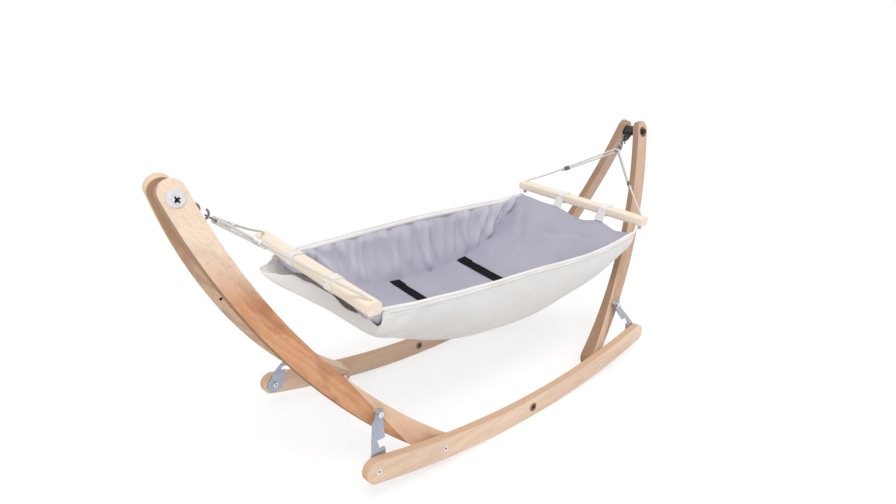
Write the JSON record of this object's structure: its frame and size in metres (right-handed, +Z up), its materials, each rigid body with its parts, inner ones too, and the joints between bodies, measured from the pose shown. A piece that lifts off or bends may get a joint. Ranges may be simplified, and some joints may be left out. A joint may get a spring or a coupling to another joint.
{
  "type": "swinging cradle",
  "caption": "Baby cradle: a padded fabric sling between two wooden spreader bars, hung by ropes from folding curved A-frames on a pair of rocker rails.",
  "frame": {"origin": "on the floor under the middle of the stand", "axes": "+X along the rails to the head bar's end (right in the picture), +Y to the back, +Z up"},
  "size_m": [1.3728, 0.4344, 0.6138],
  "materials": {
    "rail_wood": "varnished",
    "leg_wood": "varnished",
    "bar_wood": "bare",
    "brace_steel": "zinc plated",
    "bolt_steel": "black",
    "bright_steel": "zinc plated",
    "hook_steel": "dull",
    "canvas": "woven cotton",
    "lining_cloth": "padded",
    "piping_cloth": "woven",
    "strap_webbing": "webbing",
    "rope_fibre": "braided"
  },
  "bodies": {
    "stand": {"front_rail": "rail_wood", "back_rail": "rail_wood", "rail_eyelets": "bright_steel", "leg_pivot_bolts": "bolt_steel", "leg_pivot_nuts": "bright_steel", "brace_pins": "bolt_steel", "brace_pin_nuts": "bright_steel"},
    "left_frame": {"left_front_leg": "leg_wood", "left_back_leg": "leg_wood", "left_apex_bolts": "bolt_steel", "left_apex_washers": "bright_steel", "left_apex_block": "hook_steel", "left_hook": "hook_steel", "left_latch_studs": "bright_steel", "left_hanging_ring": "hook_steel"},
    "right_frame": {"right_front_leg": "leg_wood", "right_back_leg": "leg_wood", "right_apex_bolts": "bolt_steel", "right_apex_washers": "bright_steel", "right_apex_block": "hook_steel", "right_hook": "hook_steel", "right_latch_studs": "bright_steel", "right_hanging_ring": "hook_steel"},
    "left_front_brace_arm": {"left_front_brace": "brace_steel"},
    "left_back_brace_arm": {"left_back_brace": "brace_steel"},
    "right_front_brace_arm": {"right_front_brace": "brace_steel"},
    "right_back_brace_arm": {"right_back_brace": "brace_steel"},
    "cradle": {"foot_bar": "bar_wood", "head_bar": "bar_wood", "outer_sling": "canvas", "lining": "lining_cloth", "base_pad": "canvas", "front_piping": "piping_cloth", "back_piping": "piping_cloth", "foot_bar_loops": "canvas", "head_bar_loops": "canvas", "left_front_rope": "rope_fibre", "left_back_rope": "rope_fibre", "right_front_rope": "rope_fibre", "right_back_rope": "rope_fibre", "left_rope_adjusters": "bolt_steel", "right_rope_adjusters": "bolt_steel", "rope_knots": "rope_fibre", "foot_strap": "strap_webbing", "head_strap": "strap_webbing"}
  },
  "joints": [
    {"name": "cradle_swing", "type": "hinge", "parent": "stand", "child": "cradle", "pos_m": [0, 0, 0.5283], "axis": [1, 0, 0], "range_deg": [-20, 20]},
    {"name": "left_frame_fold", "type": "hinge", "parent": "stand", "child": "left_frame", "pos_m": [-0.268, 0, 0.04104], "axis": [0, 1, 0], "range_deg": [0, 10], "deforming": ["left_front_rope", "left_back_rope", "left_rope_adjusters"]},
    {"name": "right_frame_fold", "type": "hinge", "parent": "stand", "child": "right_frame", "pos_m": [0.268, 0, 0.04104], "axis": [0, -1, 0], "range_deg": [0, 10], "deforming": ["right_front_rope", "right_back_rope", "right_rope_adjusters"]},
    {"name": "left_front_brace_turn", "type": "hinge", "parent": "stand", "child": "left_front_brace_arm", "pos_m": [-0.43, -0.1965, 0.06977], "axis": [0, -1, 0], "range_deg": [0, 30]},
    {"name": "left_back_brace_turn", "type": "hinge", "parent": "stand", "child": "left_back_brace_arm", "pos_m": [-0.43, 0.1965, 0.06977], "axis": [0, -1, 0], "range_deg": [0, 30]},
    {"name": "right_front_brace_turn", "type": "hinge", "parent": "stand", "child": "right_front_brace_arm", "pos_m": [0.43, -0.1965, 0.06977], "axis": [0, 1, 0], "range_deg": [0, 30]},
    {"name": "right_back_brace_turn", "type": "hinge", "parent": "stand", "child": "right_back_brace_arm", "pos_m": [0.43, 0.1965, 0.06977], "axis": [0, 1, 0], "range_deg": [0, 30]}
  ],
  "couplings": [
    {"joint": "left_front_brace_turn", "follows": "left_frame_fold", "ratio": 3},
    {"joint": "left_back_brace_turn", "follows": "left_frame_fold", "ratio": 3},
    {"joint": "right_front_brace_turn", "follows": "right_frame_fold", "ratio": 3},
    {"joint": "right_back_brace_turn", "follows": "right_frame_fold", "ratio": 3}
  ]
}
